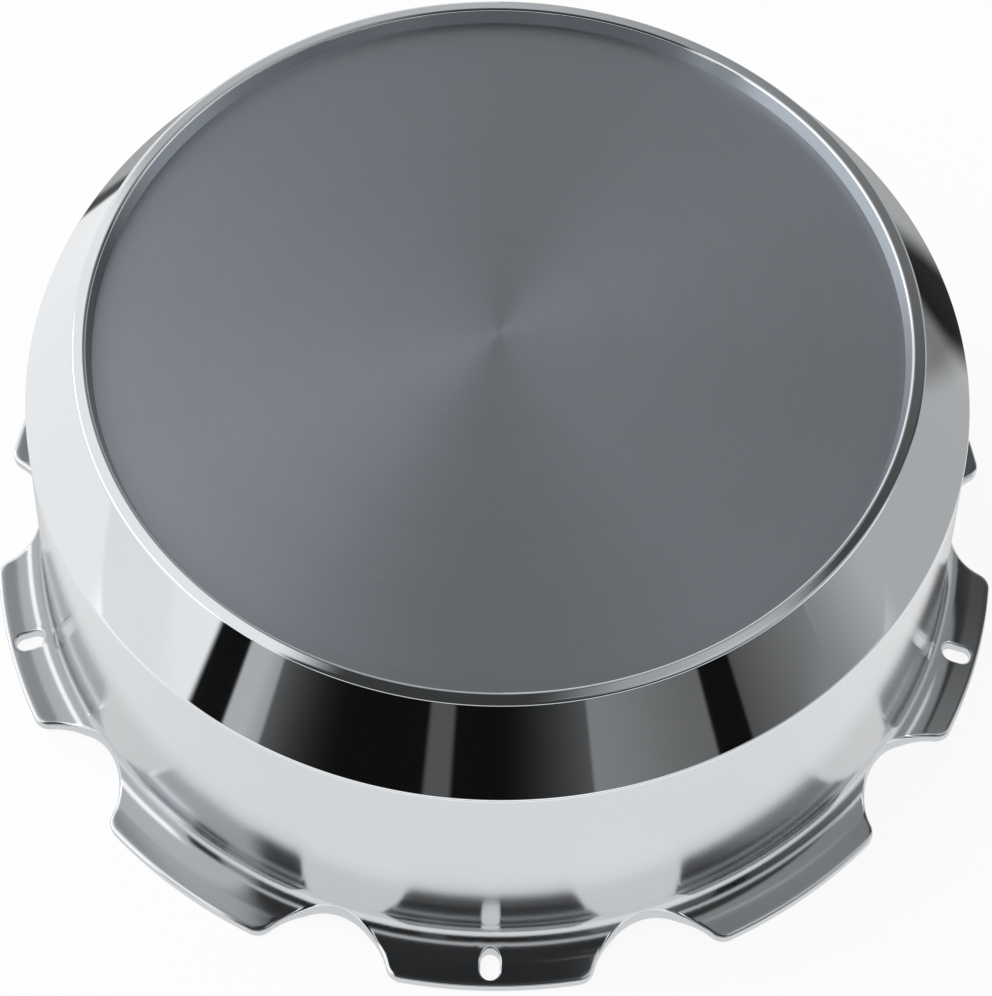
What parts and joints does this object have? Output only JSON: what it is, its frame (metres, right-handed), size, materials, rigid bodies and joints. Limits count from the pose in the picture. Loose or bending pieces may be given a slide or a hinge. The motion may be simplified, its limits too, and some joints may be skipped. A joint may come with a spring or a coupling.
{
  "type": "wheel center cap",
  "caption": "Deep drum-shaped wheel hub cap in bright metal: round turned face, raised rim, wide chamfer, and a lobed flange with lug notches and screw slots.",
  "frame": {"origin": "centre of the cap on the plane of the flange underside, which sits on the wheel", "axes": "+Z along the cap axis, out of the turned face; -Y through the middle of a lobe that has a screw slot"},
  "size_m": [0.2706, 0.2736, 0.0967],
  "materials": {
    "bright_metal": "mirror polish, face turned to a fine satin"
  },
  "bodies": {
    "root": {"cap_shell": "bright_metal"}
  },
  "joints": []
}
